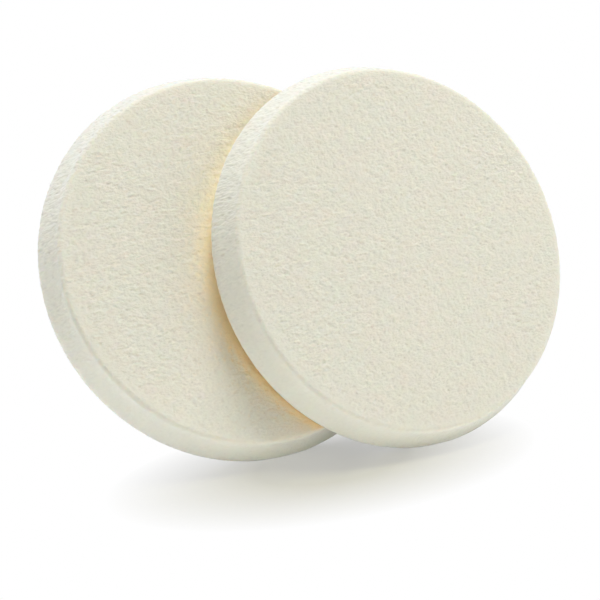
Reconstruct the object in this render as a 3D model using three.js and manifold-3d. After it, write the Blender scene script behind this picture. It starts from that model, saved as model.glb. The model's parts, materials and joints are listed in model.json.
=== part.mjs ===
// Two round makeup puffs of cream foam. They stand on edge side by side and lean back, and
// the front one covers part of the rear one. Each puff is one piece, die-cut from foam sheet.
// Millimetres. +Z is up, and the floor is at z = 0. The faces look toward -Y and up, and +X
// runs from the rear puff to the front one. The origin is on the floor under the pair's middle.

import * as THREE from 'three';
import { mergeVertices } from 'three/addons/utils/BufferGeometryUtils.js';
import Module from 'manifold-3d';

// One puff
const diameter = 76; // at its widest, just ahead of the back
const thickness = 7.8;
const cutFlare = 2.1; // how much less the radius is at the face, because the cut edge slopes
const faceEdgeRadius = 1.1; // rounding between the face and the cut edge
const backEdgeRadius = 1.7; // rounding between the cut edge and the back
const edgeCrown = 0.3; // how far the cut edge swells out between its two roundings
const restingFlat = 0.5; // how deep the foam presses flat where it stands on the floor

// How the pair stands
const frontLeanAngle = 27.2; // degrees back from upright
const rearLeanAngle = 30.2;
const rearTurnAngle = -2.4; // degrees about Z: the rear puff looks a little further left
const faceSpacing = 29; // along X, from the middle of one face to the middle of the other
const puffGap = 0.3; // where the two puffs come nearest each other

// How finely the round shapes are divided
const stepsAround = 80;
const stepsPerRounding = 5;
const stepsAcrossEdge = 3;
const stepsOnRing = 360;
const seatedShare = 0.001; // of the gap: the rear puff is seated once it moves less than this

const flatFaceRadius = diameter / 2 - cutFlare - faceEdgeRadius;
const flatBackRadius = diameter / 2 - backEdgeRadius;

// The cut edge touches both roundings, so its slope follows from where they lie.
const edgeRun = new THREE.Vector2(
  flatBackRadius - flatFaceRadius,
  thickness - backEdgeRadius - faceEdgeRadius,
);
const edgeSlope = Math.atan2(edgeRun.x, edgeRun.y)
  + Math.asin((backEdgeRadius - faceEdgeRadius) / edgeRun.length());

const wasm = await Module();
wasm.setup();

// A rounding of the outline, from one angle to another, as points of radius and depth.
function rounding(centreRadius, centreDepth, radius, fromAngle, toAngle) {
  const points = [];
  for (let step = 0; step <= stepsPerRounding; step += 1) {
    const angle = THREE.MathUtils.lerp(fromAngle, toAngle, step / stepsPerRounding);
    points.push(new THREE.Vector2(
      centreRadius + radius * Math.cos(angle),
      centreDepth + radius * Math.sin(angle),
    ));
  }
  return points;
}

// The sloping cut edge between the two roundings, swollen out most at its middle.
function cutEdge(start, end) {
  const outward = new THREE.Vector2(Math.cos(edgeSlope), -Math.sin(edgeSlope));
  const points = [];
  for (let step = 1; step < stepsAcrossEdge; step += 1) {
    const share = step / stepsAcrossEdge;
    const swell = edgeCrown * Math.sin(Math.PI * share) ** 2;
    points.push(start.clone().lerp(end, share).addScaledVector(outward, swell));
  }
  return points;
}

// Half of a puff's section, from the middle of its face to the middle of its back. The first
// number of each point is its distance from the axis and the second its depth behind the face.
function puffOutline() {
  const faceEdge = rounding(
    flatFaceRadius, faceEdgeRadius, faceEdgeRadius, -Math.PI / 2, -edgeSlope,
  );
  const backEdge = rounding(
    flatBackRadius, thickness - backEdgeRadius, backEdgeRadius, -edgeSlope, Math.PI / 2,
  );
  return [
    new THREE.Vector2(0, 0),
    ...faceEdge,
    ...cutEdge(faceEdge.at(-1), backEdge[0]),
    ...backEdge,
    new THREE.Vector2(0, thickness),
  ];
}

// A closed mesh as a solid: shared vertices are merged, and collapsed triangles are dropped.
function solidOf(geometry) {
  const bare = geometry.clone();
  bare.deleteAttribute('normal');
  bare.deleteAttribute('uv');
  const merged = mergeVertices(bare);
  const corners = merged.index.array;
  const triVerts = [];
  for (let i = 0; i < corners.length; i += 3) {
    const [a, b, c] = corners.slice(i, i + 3);
    if (a !== b && b !== c && c !== a) triVerts.push(a, b, c);
  }
  return new wasm.Manifold(new wasm.Mesh({
    numProp: 3,
    vertProperties: merged.attributes.position.array,
    triVerts: new Uint32Array(triVerts),
  }));
}

function geometryOf(solid) {
  const { vertProperties, triVerts } = solid.getMesh();
  const geometry = new THREE.BufferGeometry();
  geometry.setAttribute('position', new THREE.BufferAttribute(vertProperties, 3));
  geometry.setIndex(new THREE.BufferAttribute(triVerts, 1));
  geometry.computeVertexNormals();
  return geometry;
}

// A puff that leans back and stands on the floor, pressed into it by its resting flat. Its
// own origin is the middle of its face, which looks toward -Y before it leans and turns.
function standingPuff(name, colour, lean, turn, sideways) {
  const outline = puffOutline();
  const material = new THREE.MeshStandardMaterial({ color: colour, roughness: 0.95, metalness: 0 });
  const puff = new THREE.Mesh(new THREE.LatheGeometry(outline, stepsAround), material);
  puff.name = name;
  const leanAngle = THREE.MathUtils.degToRad(lean);
  puff.rotation.set(-leanAngle, 0, THREE.MathUtils.degToRad(turn), 'ZXY');
  const depthsBelow = outline.map(
    (point) => point.x * Math.cos(leanAngle) + point.y * Math.sin(leanAngle),
  );
  puff.position.set(sideways, 0, Math.max(...depthsBelow) - restingFlat);
  puff.updateMatrix();
  return puff;
}

// A flat round face of a puff at a depth behind its front, looking forward or backward, with
// the ring of points that bounds it.
function flatFace(puff, depth, radius, outward) {
  const ring = [];
  for (let i = 0; i < stepsOnRing; i += 1) {
    const angle = (2 * Math.PI * i) / stepsOnRing;
    const point = new THREE.Vector3(radius * Math.cos(angle), depth, radius * Math.sin(angle));
    ring.push(point.applyMatrix4(puff.matrix));
  }
  return {
    radius,
    ring,
    centre: new THREE.Vector3(0, depth, 0).applyMatrix4(puff.matrix),
    normal: new THREE.Vector3(0, outward, 0).transformDirection(puff.matrix),
  };
}

// How far along Y a ring of points must still move to clear a face by the gap. Points beside
// the face don't meet it, so they count only when no point of the ring is over it.
function moveToClear(ring, face) {
  const offsets = ring.map((point) => point.clone().sub(face.centre));
  const heights = offsets.map((offset) => offset.dot(face.normal));
  const heightsOver = heights.filter(
    (height, i) => offsets[i].addScaledVector(face.normal, -height).length() < face.radius,
  );
  const least = Math.min(...(heightsOver.length > 0 ? heightsOver : heights));
  return (puffGap - least) / Math.abs(face.normal.y);
}

// Moves the rear puff along Y until it lies one gap behind the front puff at the nearest
// point, whether that is on the rim of its own face or on the rim of the front puff's back.
function seatBehind(rear, front) {
  const frontBack = flatFace(front, thickness, flatBackRadius, 1);
  let move;
  do {
    const rearFace = flatFace(rear, 0, flatFaceRadius, -1);
    move = Math.max(
      moveToClear(frontBack.ring, rearFace),
      moveToClear(rearFace.ring, frontBack),
    );
    rear.position.y += move;
    rear.updateMatrix();
  } while (Math.abs(move) > seatedShare * puffGap);
}

// Presses a puff flat on the floor: what would lie under the floor is cut away.
function pressOnFloor(puff) {
  const ground = new THREE.BoxGeometry(2 * diameter, 2 * diameter, diameter);
  ground.translate(puff.position.x, puff.position.y, -diameter / 2);
  ground.applyMatrix4(puff.matrix.clone().invert());
  puff.geometry = geometryOf(solidOf(puff.geometry).subtract(solidOf(ground)));
}

const frontPuff = standingPuff('front_puff', 0xe4e0cf, frontLeanAngle, 0, faceSpacing);
const rearPuff = standingPuff('rear_puff', 0xdfdac8, rearLeanAngle, rearTurnAngle, 0);
seatBehind(rearPuff, frontPuff);

const pair = new THREE.Group();
pair.name = 'makeup_puffs';
for (const puff of [rearPuff, frontPuff]) {
  pressOnFloor(puff);
  pair.add(puff);
}

// The origin goes under the middle of the pair.
pair.updateMatrixWorld(true);
const middle = new THREE.Box3().setFromObject(pair, true).getCenter(new THREE.Vector3());
pair.position.set(-middle.x, -middle.y, 0);

export default pair;
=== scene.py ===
import json
import math

import bpy
import numpy as np
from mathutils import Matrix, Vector


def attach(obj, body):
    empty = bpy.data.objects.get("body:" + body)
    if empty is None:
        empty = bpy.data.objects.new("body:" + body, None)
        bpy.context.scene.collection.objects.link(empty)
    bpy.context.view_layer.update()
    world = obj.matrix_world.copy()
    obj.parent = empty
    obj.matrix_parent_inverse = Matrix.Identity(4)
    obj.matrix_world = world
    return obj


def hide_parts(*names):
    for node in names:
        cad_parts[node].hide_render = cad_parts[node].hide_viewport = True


# Two round makeup puffs of cream rubber foam, standing on edge and leaning back, the front
# one covering part of the rear one. Metres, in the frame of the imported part: +Z is up, the
# floor is at z = 0, and the flat faces look toward -Y and up.

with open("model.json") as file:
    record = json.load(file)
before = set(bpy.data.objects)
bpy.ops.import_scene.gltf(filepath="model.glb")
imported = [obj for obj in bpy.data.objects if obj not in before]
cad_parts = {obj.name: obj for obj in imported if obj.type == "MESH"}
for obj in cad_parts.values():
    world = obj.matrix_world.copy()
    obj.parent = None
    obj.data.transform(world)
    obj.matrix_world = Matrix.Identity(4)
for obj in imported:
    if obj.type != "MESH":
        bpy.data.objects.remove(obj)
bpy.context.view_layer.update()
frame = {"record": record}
mm = 0.001


# Camera: a 75 mm lens a little above the puffs and to their left

cameraView = {
    "azimuth": -29.1,     # degrees from straight ahead, negative to the left
    "elevation": 18.0,    # degrees above the floor
    "distance": 238.8 * mm,
    "target": (-5.4 * mm, -2.9 * mm, 26.4 * mm),
    "lens": 75.0,
    "sensor": 36.0,
}


def addCamera(view):
    # camera = target + distance * (sin a cos e, -cos a cos e, sin e)
    azimuth, elevation = math.radians(view["azimuth"]), math.radians(view["elevation"])
    back = Vector((
        math.sin(azimuth) * math.cos(elevation),
        -math.cos(azimuth) * math.cos(elevation),
        math.sin(elevation),
    ))
    data = bpy.data.cameras.new("camera")
    data.sensor_width = view["sensor"]
    data.lens = view["lens"]
    camera = bpy.data.objects.new("camera", data)
    camera.location = Vector(view["target"]) + back * view["distance"]
    camera.rotation_mode = "QUATERNION"
    camera.rotation_quaternion = (-back).to_track_quat("-Z", "Y")
    bpy.context.scene.collection.objects.link(camera)
    bpy.context.scene.camera = camera


addCamera(cameraView)
print("camera placed")


# Random patterns in space, read at any number of points at once

latticeSize = 32   # a lattice of random numbers repeats after this many cells


def latticeNumbers(seed, channels=1):
    # one block of numbers from 0 to 1 for each channel, the same on each run
    return np.random.default_rng(seed).random((channels,) + (latticeSize,) * 3)


def smoothNoise(points, cell, seed):
    # value noise from -1 to 1: the eight corners of a cell, mixed by f * f * (3 - 2 f)
    numbers = latticeNumbers(seed)[0]
    place = points / cell
    corner = np.floor(place).astype(int)
    share = place - corner
    share = share * share * (3 - 2 * share)
    total = np.zeros(len(points))
    for step in np.ndindex(2, 2, 2):
        weight = np.prod(np.where(step, share, 1 - share), axis=1)
        index = (corner + step) % latticeSize
        total += weight * numbers[index[:, 0], index[:, 1], index[:, 2]]
    return 2 * total - 1


def bubbles(points, cell, radii, seed):
    # one round bubble in each cell, at a random place: 1 at its middle, 1 - (d / r)^2 inside
    # it and 0 outside, so that a surface through the bubbles gets the pits of a cut foam
    numbers = latticeNumbers(seed, 4)
    place = points / cell
    corner = np.floor(place).astype(int)
    pits = np.zeros(len(points))
    for step in np.ndindex(3, 3, 3):
        near = corner + np.array(step) - 1
        index = near % latticeSize
        x, y, z, share = numbers[:, index[:, 0], index[:, 1], index[:, 2]]
        radius = (radii[0] + (radii[1] - radii[0]) * share) / cell
        distance = np.linalg.norm(near + np.stack([x, y, z], axis=1) - place, axis=1)
        pits = np.maximum(pits, 1 - (distance / radius) ** 2)
    return pits


# One puff: a disc cut from foam sheet

puff = {
    "diameter": 76 * mm,
    "thickness": 7.8 * mm,
    "cutFlare": 2.1 * mm,          # how much smaller the radius is at the face than at the back
    "faceEdgeRadius": 1.1 * mm,
    "backEdgeRadius": 1.7 * mm,
    "edgeHollow": 0.22 * mm,       # how far the cut edge is drawn in, most at a third of its width
    "cellsAcross": 264,            # squares of the grid across the flat face
    "wallRows": 44,                # rings of squares from the face round to the back
    # the relief is swells of three sizes: how wide they are, and how high they stand
    "swells": ((2.6 * mm, 0.012 * mm), (1.3 * mm, 0.016 * mm), (0.57 * mm, 0.068 * mm)),
    "swellSeed": 11,
    "poreCell": 0.74 * mm,
    "poreRadii": (0.08 * mm, 0.34 * mm),
    "poreDepth": 0.12 * mm,
    "poreSeed": 71,
    "stretch": (0.76, 0.4, 1.18),  # makes the pattern wide, drawn out in depth, and low
    "edgeTurn": 0.25,              # once 1 - |y| of its direction reaches this, a point is all edge
    "rim": 2.2 * mm,               # how far in from its border a flat side grows smoother and paler
    "rimShare": 0.8,               # and how near it comes to the cut edge in that
    "openAbove": 0.1,              # the cut edge loses its grain where it faces lower than this,
    "openRamp": 0.5,               # over this much of the upward part of its direction,
    "leastOpen": 0.25,             # and keeps this share of it where it faces down
}


def section(size, shares):
    # the cut edge from the flat face (share 0) to the flat back (share 1), as the distance
    # from the axis and the depth behind the face: a rounding, a straight slope that touches
    # both roundings, drawn in by hollow * 27/4 * s * (1 - s)^2, and the rounding of the back
    front, back = size["faceEdgeRadius"], size["backEdgeRadius"]
    faceRadius = size["diameter"] / 2 - size["cutFlare"] - front
    backRadius = size["diameter"] / 2 - back
    run, depth = backRadius - faceRadius, size["thickness"] - back - front
    length = math.hypot(run, depth)
    slope = math.atan2(run, depth) + math.asin((back - front) / length)
    straight = math.sqrt(length ** 2 - (back - front) ** 2)
    quarter = math.pi / 2
    parts = np.array([front * (quarter - slope), straight, back * (quarter + slope)])
    along = shares * parts.sum()
    first = np.clip(along / parts[0], 0, 1) * (quarter - slope) - quarter
    second = np.clip((along - parts[0] - parts[1]) / parts[2], 0, 1) * (quarter + slope) - slope
    middle = np.clip((along - parts[0]) / parts[1], 0, 1)
    hollow = size["edgeHollow"] * 27 / 4 * middle * (1 - middle) ** 2
    outward = np.array([math.cos(slope), -math.sin(slope)])
    downward = np.array([math.sin(slope), math.cos(slope)])
    frontCentre = np.array([faceRadius, front])
    backCentre = np.array([backRadius, size["thickness"] - back])
    corner = frontCentre + front * outward
    onFront = frontCentre + front * np.stack([np.cos(first), np.sin(first)], axis=1)
    onSlope = corner + np.outer(middle * straight, downward) - np.outer(hollow, outward)
    onBack = backCentre + back * np.stack([np.cos(second), np.sin(second)], axis=1)
    part = np.searchsorted(np.cumsum(parts)[:2], along, side="right")[:, None]
    return np.where(part == 0, onFront, np.where(part == 1, onSlope, onBack))


def discGrid(cells):
    # a square grid laid on the unit disc, so that the points stay nearly evenly spaced: each
    # square ring becomes a circle, x = r cos(t), z = r sin(t), where r is half the ring's side
    # and t goes evenly along it
    a, b = np.meshgrid(np.linspace(-1, 1, cells + 1), np.linspace(-1, 1, cells + 1))
    wide = np.abs(a) > np.abs(b)
    radius = np.where(wide, a, b)
    safe = np.where(radius == 0, 1, radius)
    angle = np.where(wide, b / safe * math.pi / 4, math.pi / 2 - a / safe * math.pi / 4)
    return radius * np.cos(angle), radius * np.sin(angle)


def gridNumbers(cells):
    # the points of a square grid, numbered row by row
    return np.arange((cells + 1) ** 2).reshape(cells + 1, cells + 1)


def gridRing(cells):
    # the numbers of the points round the border of the grid, in order
    number = gridNumbers(cells)
    return np.concatenate([number[0, :-1], number[:-1, -1], number[-1, :0:-1], number[:0:-1, 0]])


def gridSquares(cells):
    # the numbers of the four corners of each square, going round it
    number = gridNumbers(cells)
    corners = (number[:-1, :-1], number[:-1, 1:], number[1:, 1:], number[1:, :-1])
    return np.stack([corner.ravel() for corner in corners], axis=1)


def puffSurface(size):
    # points, outward directions and squares of the smooth closed disc in its own frame: the
    # middle of the face is the origin, the face looks toward -Y, and +Y is depth. The face and
    # the back are disc grids, and the section carried round the axis joins their borders
    cells, rows = size["cellsAcross"], size["wallRows"]
    x, z = (value.ravel() for value in discGrid(cells))
    ring = gridRing(cells)
    edge = section(size, np.linspace(0, 1, rows + 1))
    tangent = np.gradient(edge, axis=0)
    outward = np.stack([tangent[:, 1], -tangent[:, 0]], axis=1)
    outward /= np.linalg.norm(outward, axis=1)[:, None]
    flat = np.zeros_like(x)
    face = np.stack([x * edge[0, 0], flat, z * edge[0, 0]], axis=1)
    back = np.stack([x * edge[-1, 0], flat + size["thickness"], z * edge[-1, 0]], axis=1)
    faceOut = np.tile([0.0, -1.0, 0.0], (len(face), 1))
    backOut = -faceOut
    around = np.stack([x[ring], z[ring]], axis=1)

    def turned(pair):
        # a radius and a depth, carried round the axis
        depth = np.full(len(around), pair[1])
        return np.stack([pair[0] * around[:, 0], depth, pair[0] * around[:, 1]], axis=1)

    wall = np.concatenate([turned(pair) for pair in edge[1:-1]])
    wallOut = np.concatenate([turned(pair) for pair in outward[1:-1]])
    faceOut[ring] = turned(outward[0])
    backOut[ring] = turned(outward[-1])
    points = np.concatenate([face, back, wall])
    directions = np.concatenate([faceOut, backOut, wallOut])

    backRing = ring + len(face)
    wallRings = np.arange(len(wall)).reshape(rows - 1, len(ring)) + len(face) + len(back)
    rings = np.concatenate([ring[None], wallRings, backRing[None]])
    after = np.roll(rings, -1, axis=1)
    wallSquares = np.stack([rings[:-1], rings[1:], after[1:], after[:-1]], axis=2).reshape(-1, 4)
    squares = gridSquares(cells)
    squares = np.concatenate([squares, squares[:, ::-1] + len(face), wallSquares])
    return points, directions, squares


def puffShares(size, points, directions):
    # from 0 to 1 at each point. edge: on the cut edge, and less on the rims of the flat sides.
    # face: on the flat face. open: how openly the pores show, fully in the middle of the flat
    # sides and where the cut edge faces up, less on the rims, as the square of the way across
    # them, and where the cut edge faces down, by a straight ramp
    onEdge = np.clip((1 - np.abs(directions[:, 1])) / size["edgeTurn"], 0, 1)
    onFace = np.clip(1 - (1 + directions[:, 1]) / size["edgeTurn"], 0, 1)
    radius = np.hypot(points[:, 0], points[:, 2])
    border = size["diameter"] / 2 - size["cutFlare"] - size["faceEdgeRadius"]
    onRim = size["rimShare"] * np.clip(1 + (radius - border) / size["rim"], 0, 1) ** 2
    down = np.clip((size["openAbove"] - directions[:, 2]) / size["openRamp"], 0, 1)
    closed = np.maximum(down * onEdge, onRim * (1 - onEdge))
    return {
        "open": 1 - (1 - size["leastOpen"]) * closed,
        "edge": np.maximum(onEdge, onRim),
        "face": onFace,
    }


def standUp(points, centre, facing):
    # from the disc's own frame to the part's: across = level, up = facing x across, and what
    # is then under the floor is pressed flat
    across = np.array([-facing[1], facing[0], 0.0])
    across /= np.linalg.norm(across)
    turn = np.stack([across, -facing, np.cross(facing, across)], axis=1)
    points = points @ turn.T + centre
    points[:, 2] = np.maximum(points[:, 2], 0)
    return points


def puffMesh(name, size, centre, facing, seed):
    # the smooth disc, with each point moved along its outward direction by
    # open * (swells - depth * pits), and stood where the frame says. The patterns are read at
    # the points times stretch, as many diameters away as the seed says
    points, directions, squares = puffSurface(size)
    shares = puffShares(size, points, directions)
    pattern = points * size["stretch"] + seed * size["diameter"] * np.array([1, 0, 1])
    swells = sum(
        height * smoothNoise(pattern, cell, seed + size["swellSeed"] + step)
        for step, (cell, height) in enumerate(size["swells"])
    )
    pits = bubbles(pattern, size["poreCell"], size["poreRadii"], seed + size["poreSeed"])
    pores = shares["open"] * pits
    relief = swells * shares["open"] - size["poreDepth"] * pores
    points = standUp(points + directions * relief[:, None], centre, facing)

    mesh = bpy.data.meshes.new(name)
    mesh.from_pydata(points.tolist(), [], squares.tolist())
    mesh.polygons.foreach_set("use_smooth", np.ones(len(squares), bool))
    for title, numbers in {"pore": pores, **shares}.items():
        attribute = mesh.attributes.new(title, "FLOAT", "POINT")
        attribute.data.foreach_set("value", numbers.astype(np.float32))
    attribute = mesh.attributes.new("grain", "FLOAT_VECTOR", "POINT")
    attribute.data.foreach_set("vector", pattern.astype(np.float32).ravel())
    mesh.update()
    piece = bpy.data.objects.new(name, mesh)
    bpy.context.scene.collection.objects.link(piece)
    return piece


# Foam: cream, matt and slightly translucent

foam = {
    "rosy": (0.775, 0.739, 0.620),       # the cream drifts between these two in soft patches
    "leafy": (0.756, 0.745, 0.620),
    "patches": {"cell": 7 * mm, "detail": 2.0, "span": 0.4},
    "cut": (0.785, 0.77, 0.645),         # the smooth cut edge and the rim are paler
    # the pores are darker by their own colour and by painted shade in them
    "poreColourAndShade": (0.62, 0.59, 0.48),
    "poreShadeShare": 0.48,                   # how much of that colour the bottom of a pore takes
    "speckle": {"cell": 0.46 * mm, "detail": 1.0, "span": 0.5},
    "speckleLight": (1.08, 1.08, 1.08),  # these multiply the cream
    "speckleDark": (0.93, 0.93, 0.92),
    "speckleHeight": 0.07 * mm,          # of the bump that goes with it
    # in places of this size the speckle is fainter, down to this bottom share
    "quiet": {"cell": 3.2 * mm, "detail": 0.0, "span": 0.5, "bottom": 0.3},
    "roughness": 0.9,
    "subsurface": 0.35,
    "subsurfaceRadius": (1.0, 0.55, 0.3),
    "subsurfaceScale": 1.6 * mm,
    "sheen": 0.35,
    "sheenRoughness": 0.4,
}

# Painted light between the puffs, in place of the warm light that comes through the foam: the
# front puff shows a colour above 1 to what it lights from near, a painted glow, and the rear face
# is painted warmer where the front puff covers it, orange and darker low down and paler high up,
# a painted glow and shade.
paintedGlowAndShade = {
    "front": {
        "paintedGlowColour": (2.1, 1.85, 1.35),    # painted glow: the colour, above 1, that it shows to what it lights from near
        "reach": (0.5 * mm, 10 * mm),    # this fades out between these distances
        "height": (6 * mm, 42 * mm),     # and comes in between these heights
    },
    "rear": {
        "paintedGlowShadeLow": (1.0, 0.74, 0.38),    # painted glow and shade: the colour painted on the face where the front puff
        "paintedGlowHigh": (1.0, 0.93, 0.72),   # covers it, near the floor and high up
        "paintedGlowTurn": (22 * mm, 50 * mm),  # and the heights between which it turns
        "gain": 1.8,                     # how fast it comes in as the cover gets closer
        "distance": 11 * mm,             # how far off a cover is still felt
        "samples": 8,
        "height": (1 * mm, 6 * mm),      # the painted colour comes in between these heights
    },
}

# A Mix node has sockets for every kind of data, and these are the ones that mix colours.
mixInputs = (0, 6, 7)
mixOutput = 2


def mixColours(tree, factor, first, second, blend="MIX"):
    # first * (1 - factor) + second * factor, or with MULTIPLY first * second where factor is
    # 1; each is a node's output or a plain value
    mix = tree.nodes.new("ShaderNodeMix")
    mix.data_type = "RGBA"
    mix.blend_type = blend
    for number, value in zip(mixInputs, (factor, first, second)):
        if isinstance(value, bpy.types.NodeSocket):
            tree.links.new(value, mix.inputs[number])
        elif isinstance(value, tuple):
            mix.inputs[number].default_value = (*value, 1)
        else:
            mix.inputs[number].default_value = value
    return mix.outputs[mixOutput]


def spread(tree, value, fromRange, toRange):
    # the value carried from one range to the other along a straight line, held at its ends
    node = tree.nodes.new("ShaderNodeMapRange")
    for name, number in zip(("From Min", "From Max", "To Min", "To Max"), (*fromRange, *toRange)):
        node.inputs[name].default_value = number
    tree.links.new(value, node.inputs["Value"])
    return node.outputs["Result"]


def calculate(tree, operation, first, second):
    # first * second with MULTIPLY, first + second with ADD, never above 1; each is a node's
    # output or a number
    result = tree.nodes.new("ShaderNodeMath")
    result.operation = operation
    result.use_clamp = True
    for socket, value in zip(result.inputs, (first, second)):
        if isinstance(value, bpy.types.NodeSocket):
            tree.links.new(value, socket)
        else:
            socket.default_value = value
    return result.outputs[0]


def readAttribute(tree, name, output):
    # what the mesh holds under this name, as a number (Fac) or as a place (Vector)
    attribute = tree.nodes.new("ShaderNodeAttribute")
    attribute.attribute_name = name
    return attribute.outputs[output]


def noiseShare(tree, place, cell, detail, span, bottom=0.0):
    # a noise with cells of this size, its middle part spread from bottom to 1
    noise = tree.nodes.new("ShaderNodeTexNoise")
    noise.inputs["Scale"].default_value = 1 / cell
    noise.inputs["Detail"].default_value = detail
    tree.links.new(place, noise.inputs["Vector"])
    return spread(tree, noise.outputs["Fac"], (0.5 - span / 2, 0.5 + span / 2), (bottom, 1))


def heightShare(tree, heights):
    # 0 up to the first height above the floor, 1 from the second
    place = tree.nodes.new("ShaderNodeTexCoord")
    parts = tree.nodes.new("ShaderNodeSeparateXYZ")
    tree.links.new(place.outputs["Object"], parts.inputs["Vector"])
    return spread(tree, parts.outputs["Z"], heights, (0, 1))


def paintGlowFromNear(tree, colour, look):
    # painted glow: the warmer colour, above 1, for the light that bounces off this piece to a
    # surface within reach: share = is a diffuse ray * nearness * height
    path = tree.nodes.new("ShaderNodeLightPath").outputs
    near = spread(tree, path["Ray Length"], look["reach"], (1, 0))
    share = calculate(tree, "MULTIPLY", path["Is Diffuse Ray"], near)
    share = calculate(tree, "MULTIPLY", share, heightShare(tree, look["height"]))
    return mixColours(tree, share, colour, look["paintedGlowColour"])


def paintGlowAndShadeUnderCover(tree, colour, look):
    # painted glow and shade: share = (gain * (1 - openness))^2 on the face, where another piece
    # covers it closely
    cover = tree.nodes.new("ShaderNodeAmbientOcclusion")
    cover.samples = look["samples"]
    cover.inputs["Distance"].default_value = look["distance"]
    share = spread(tree, cover.outputs["AO"], (1, 0), (0, look["gain"]))
    share = calculate(tree, "MULTIPLY", share, share)
    share = calculate(tree, "MULTIPLY", share, readAttribute(tree, "face", "Fac"))
    share = calculate(tree, "MULTIPLY", share, heightShare(tree, look["height"]))
    # the painted colour: an orange glow and shade low down, a paler warm glow high up
    paintedWarmth = mixColours(tree, heightShare(tree, look["paintedGlowTurn"]), look["paintedGlowShadeLow"], look["paintedGlowHigh"])
    return mixColours(tree, share, colour, paintedWarmth)


def foamMaterial(body, look):
    # cream in soft patches, darker in the pores, by their own colour and by painted shade, and in a
    # fine speckle that is also the bump
    material = bpy.data.materials.new(body + "Foam")
    material.use_nodes = True
    tree = material.node_tree
    shader = tree.nodes["Principled BSDF"]
    place = readAttribute(tree, "grain", "Vector")
    patches = noiseShare(tree, place, **look["patches"])
    colour = mixColours(tree, patches, look["rosy"], look["leafy"])
    colour = mixColours(tree, readAttribute(tree, "edge", "Fac"), colour, look["cut"])
    speckle = noiseShare(tree, place, **look["speckle"])
    shades = mixColours(tree, speckle, look["speckleLight"], look["speckleDark"])
    quiet = noiseShare(tree, place, **look["quiet"])
    strength = calculate(tree, "MULTIPLY", quiet, readAttribute(tree, "open", "Fac"))
    colour = mixColours(tree, strength, colour, shades, "MULTIPLY")
    # painted shade and darker colour at the bottoms of the pores
    depth = calculate(tree, "MULTIPLY", readAttribute(tree, "pore", "Fac"), look["poreShadeShare"])
    colour = mixColours(tree, depth, colour, look["poreColourAndShade"])
    # painted glow from the front puff onto what is near it, and painted glow and shade on the rear
    # face where the front puff covers it
    if body == "front":
        colour = paintGlowFromNear(tree, colour, paintedGlowAndShade[body])
    else:
        colour = paintGlowAndShadeUnderCover(tree, colour, paintedGlowAndShade[body])
    tree.links.new(colour, shader.inputs["Base Color"])
    bump = tree.nodes.new("ShaderNodeBump")
    bump.invert = True
    bump.inputs["Distance"].default_value = look["speckleHeight"]
    tree.links.new(speckle, bump.inputs["Height"])
    tree.links.new(bump.outputs["Normal"], shader.inputs["Normal"])
    shader.inputs["Roughness"].default_value = look["roughness"]
    shader.inputs["Subsurface Weight"].default_value = look["subsurface"]
    shader.inputs["Subsurface Radius"].default_value = look["subsurfaceRadius"]
    shader.inputs["Subsurface Scale"].default_value = look["subsurfaceScale"]
    shader.inputs["Sheen Weight"].default_value = look["sheen"]
    shader.inputs["Sheen Roughness"].default_value = look["sheenRoughness"]
    return material


def mountPlace(name):
    # where a mount of the record is, and which way it looks
    mount = next(entry for entry in frame["record"]["mounts"] if entry["name"] == name)
    return np.array(mount["pos_m"]), np.array(mount["axis"])


# Where the middle of each face is, which way it looks, and the seed of the puff's pattern
frontFace, frontFacing = mountPlace("front_face")
rearBack, rearBackFacing = mountPlace("rear_back")
places = {
    "front": {"centre": frontFace, "facing": frontFacing, "seed": 3},
    "rear": {
        "centre": rearBack - rearBackFacing * puff["thickness"],
        "facing": -rearBackFacing,
        "seed": 5,
    },
}

for body, place in places.items():
    facing = place["facing"] / np.linalg.norm(place["facing"])
    piece = puffMesh(body + "_puff_foam", puff, place["centre"], facing, place["seed"])
    piece.data.materials.append(foamMaterial(body, foam))
    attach(piece, body)
    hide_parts(body + "_puff")
    print(piece.name, "made of", len(piece.data.polygons), "squares")


# Floor and light

floorLook = {
    "side": 3.0,
    "colour": (0.97, 0.97, 0.97),      # of the floor as it lights the puffs
    "roughness": 0.25,
    # in the oval round the puffs' feet the camera sees the floor darker and beige: the cast shadow
    # in it is real, the rest of that darkness and the beige are painted shade
    "seen": (0.345, 0.33, 0.205),      # the camera sees this colour, so that the shadow shows
    "leastWhite": 0.42,                # with this share of plain white or more mixed in,
    "middle": (-8 * mm, -20 * mm, 0),  # all white outside an oval with its middle here
    "turn": math.radians(-4),
    "oval": (43 * mm, 21.5 * mm, 1),   # its half axes
    "fade": (0.35, 1.0),               # the shares of them between which the white grows
}

# Rectangles of light in metres, with their powers in watts
lamps = {
    "back": {
        "place": (0.0, 0.44, 0.62), "size": (0.9, 0.3), "power": 0.9, "colour": (0.84, 1.0, 1.75),
    },
    "top": {
        "place": (0.10, 0.08, 0.79), "size": (0.3, 0.3), "power": 5.45, "colour": (1, 1, 1),
    },
    "right": {
        "place": (0.60, -0.50, 0.40), "size": (0.6, 0.6), "power": 2.25, "colour": (1, 1, 1),
    },
    "left": {
        "place": (-0.75, 0.30, 0.15), "size": (0.5, 0.2), "power": 1.65, "colour": (1, 1, 1),
    },
    "lowLeft": {
        "place": (-0.78, -0.10, 0.10), "size": (0.5, 0.2), "power": 0.45, "colour": (1, 1, 1),
    },
    "low": {
        "place": (-0.10, -0.78, 0.12), "size": (0.6, 0.2), "power": 1.25, "colour": (1, 1, 1),
    },
}

worldLook = {
    "level": 0.03,  # how strong its light is on the puffs
    "seen": 1.0,    # and where it is seen, as plain white
}


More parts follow.
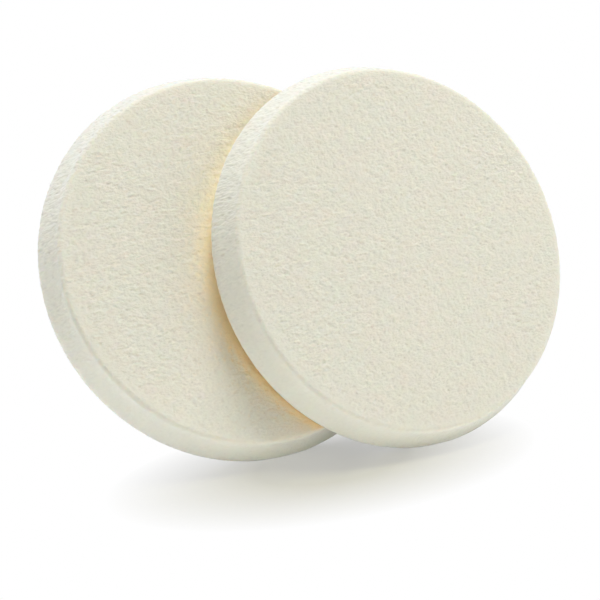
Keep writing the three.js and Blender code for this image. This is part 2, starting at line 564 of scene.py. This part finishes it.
def seenDirectly(tree):
    # 1 for what the camera sees by itself, in a gloss or through a clear piece, 0 for what
    # only lights the scene
    path = tree.nodes.new("ShaderNodeLightPath").outputs
    gloss = calculate(tree, "ADD", path["Is Glossy Ray"], path["Is Transmission Ray"])
    return calculate(tree, "ADD", path["Is Camera Ray"], gloss)


def mixShaders(tree, factor, first, second):
    # the first surface where the factor is 0, the second where it is 1
    mix = tree.nodes.new("ShaderNodeMixShader")
    for socket, output in zip(mix.inputs, (factor, first, second)):
        tree.links.new(output, socket)
    return mix.outputs["Shader"]


def paintedShadeOval(tree, look):
    # the length of (place - middle), turned back and divided by the half axes: 1 on the oval of
    # painted shade
    place = tree.nodes.new("ShaderNodeTexCoord")
    oval = tree.nodes.new("ShaderNodeMapping")
    oval.vector_type = "TEXTURE"
    oval.inputs["Location"].default_value = look["middle"]
    oval.inputs["Rotation"].default_value = (0, 0, look["turn"])
    oval.inputs["Scale"].default_value = look["oval"]
    tree.links.new(place.outputs["Object"], oval.inputs["Vector"])
    distance = tree.nodes.new("ShaderNodeVectorMath")
    distance.operation = "LENGTH"
    tree.links.new(oval.outputs["Vector"], distance.inputs[0])
    return distance.outputs["Value"]


def floorMaterial(look):
    # nearly white for the light on the puffs; where it is seen directly, a darker beige colour
    # that shows the real shadow and is itself painted shade in the oval, mixed with plain white
    material = bpy.data.materials.new("floorWhite")
    material.use_nodes = True
    tree = material.node_tree
    lit = tree.nodes["Principled BSDF"]
    shaded = tree.nodes.new("ShaderNodeBsdfPrincipled")
    for shader, colour in ((lit, look["colour"]), (shaded, look["seen"])):
        shader.inputs["Base Color"].default_value = (*colour, 1)
        shader.inputs["Roughness"].default_value = look["roughness"]
    white = tree.nodes.new("ShaderNodeEmission")
    # the oval of painted shade, with the real shadow in it, turns to plain white outward
    fade = spread(tree, paintedShadeOval(tree, look), look["fade"], (look["leastWhite"], 1))
    seen = mixShaders(tree, fade, shaded.outputs["BSDF"], white.outputs["Emission"])
    surface = mixShaders(tree, seenDirectly(tree), lit.outputs["BSDF"], seen)
    tree.links.new(surface, tree.nodes["Material Output"].inputs["Surface"])
    return material


def addFloor(look):
    # one level square at the height of the puffs' lowest points
    mesh = bpy.data.meshes.new("floor")
    half = look["side"] / 2
    corners = [(-half, -half, 0), (half, -half, 0), (half, half, 0), (-half, half, 0)]
    mesh.from_pydata(corners, [], [(0, 1, 2, 3)])
    floor = bpy.data.objects.new("floor", mesh)
    bpy.context.scene.collection.objects.link(floor)
    mesh.materials.append(floorMaterial(look))


def addLamp(name, look):
    # a rectangle of light at its place, looking at the origin
    data = bpy.data.lights.new(name, "AREA")
    data.shape = "RECTANGLE"
    data.size, data.size_y = look["size"]
    data.energy = look["power"]
    data.color = look["colour"]
    lamp = bpy.data.objects.new(name, data)
    lamp.location = look["place"]
    lamp.rotation_mode = "QUATERNION"
    lamp.rotation_quaternion = (-Vector(look["place"])).to_track_quat("-Z", "Y")
    bpy.context.scene.collection.objects.link(lamp)


def addWorld(look):
    # a faint light from all round, and plain white where it is seen directly
    world = bpy.data.worlds.new("studio")
    bpy.context.scene.world = world
    world.use_nodes = True
    tree = world.node_tree
    soft = tree.nodes["Background"]
    white = tree.nodes.new("ShaderNodeBackground")
    for shader, strength in ((soft, look["level"]), (white, look["seen"])):
        shader.inputs["Color"].default_value = (1, 1, 1, 1)
        shader.inputs["Strength"].default_value = strength
    backgrounds = (soft.outputs["Background"], white.outputs["Background"])
    surface = mixShaders(tree, seenDirectly(tree), *backgrounds)
    tree.links.new(surface, tree.nodes["World Output"].inputs["Surface"])


addFloor(floorLook)
for name, look in lamps.items():
    addLamp(name, look)
addWorld(worldLook)
bpy.context.scene.view_settings.view_transform = "Standard"
print("floor and light added")
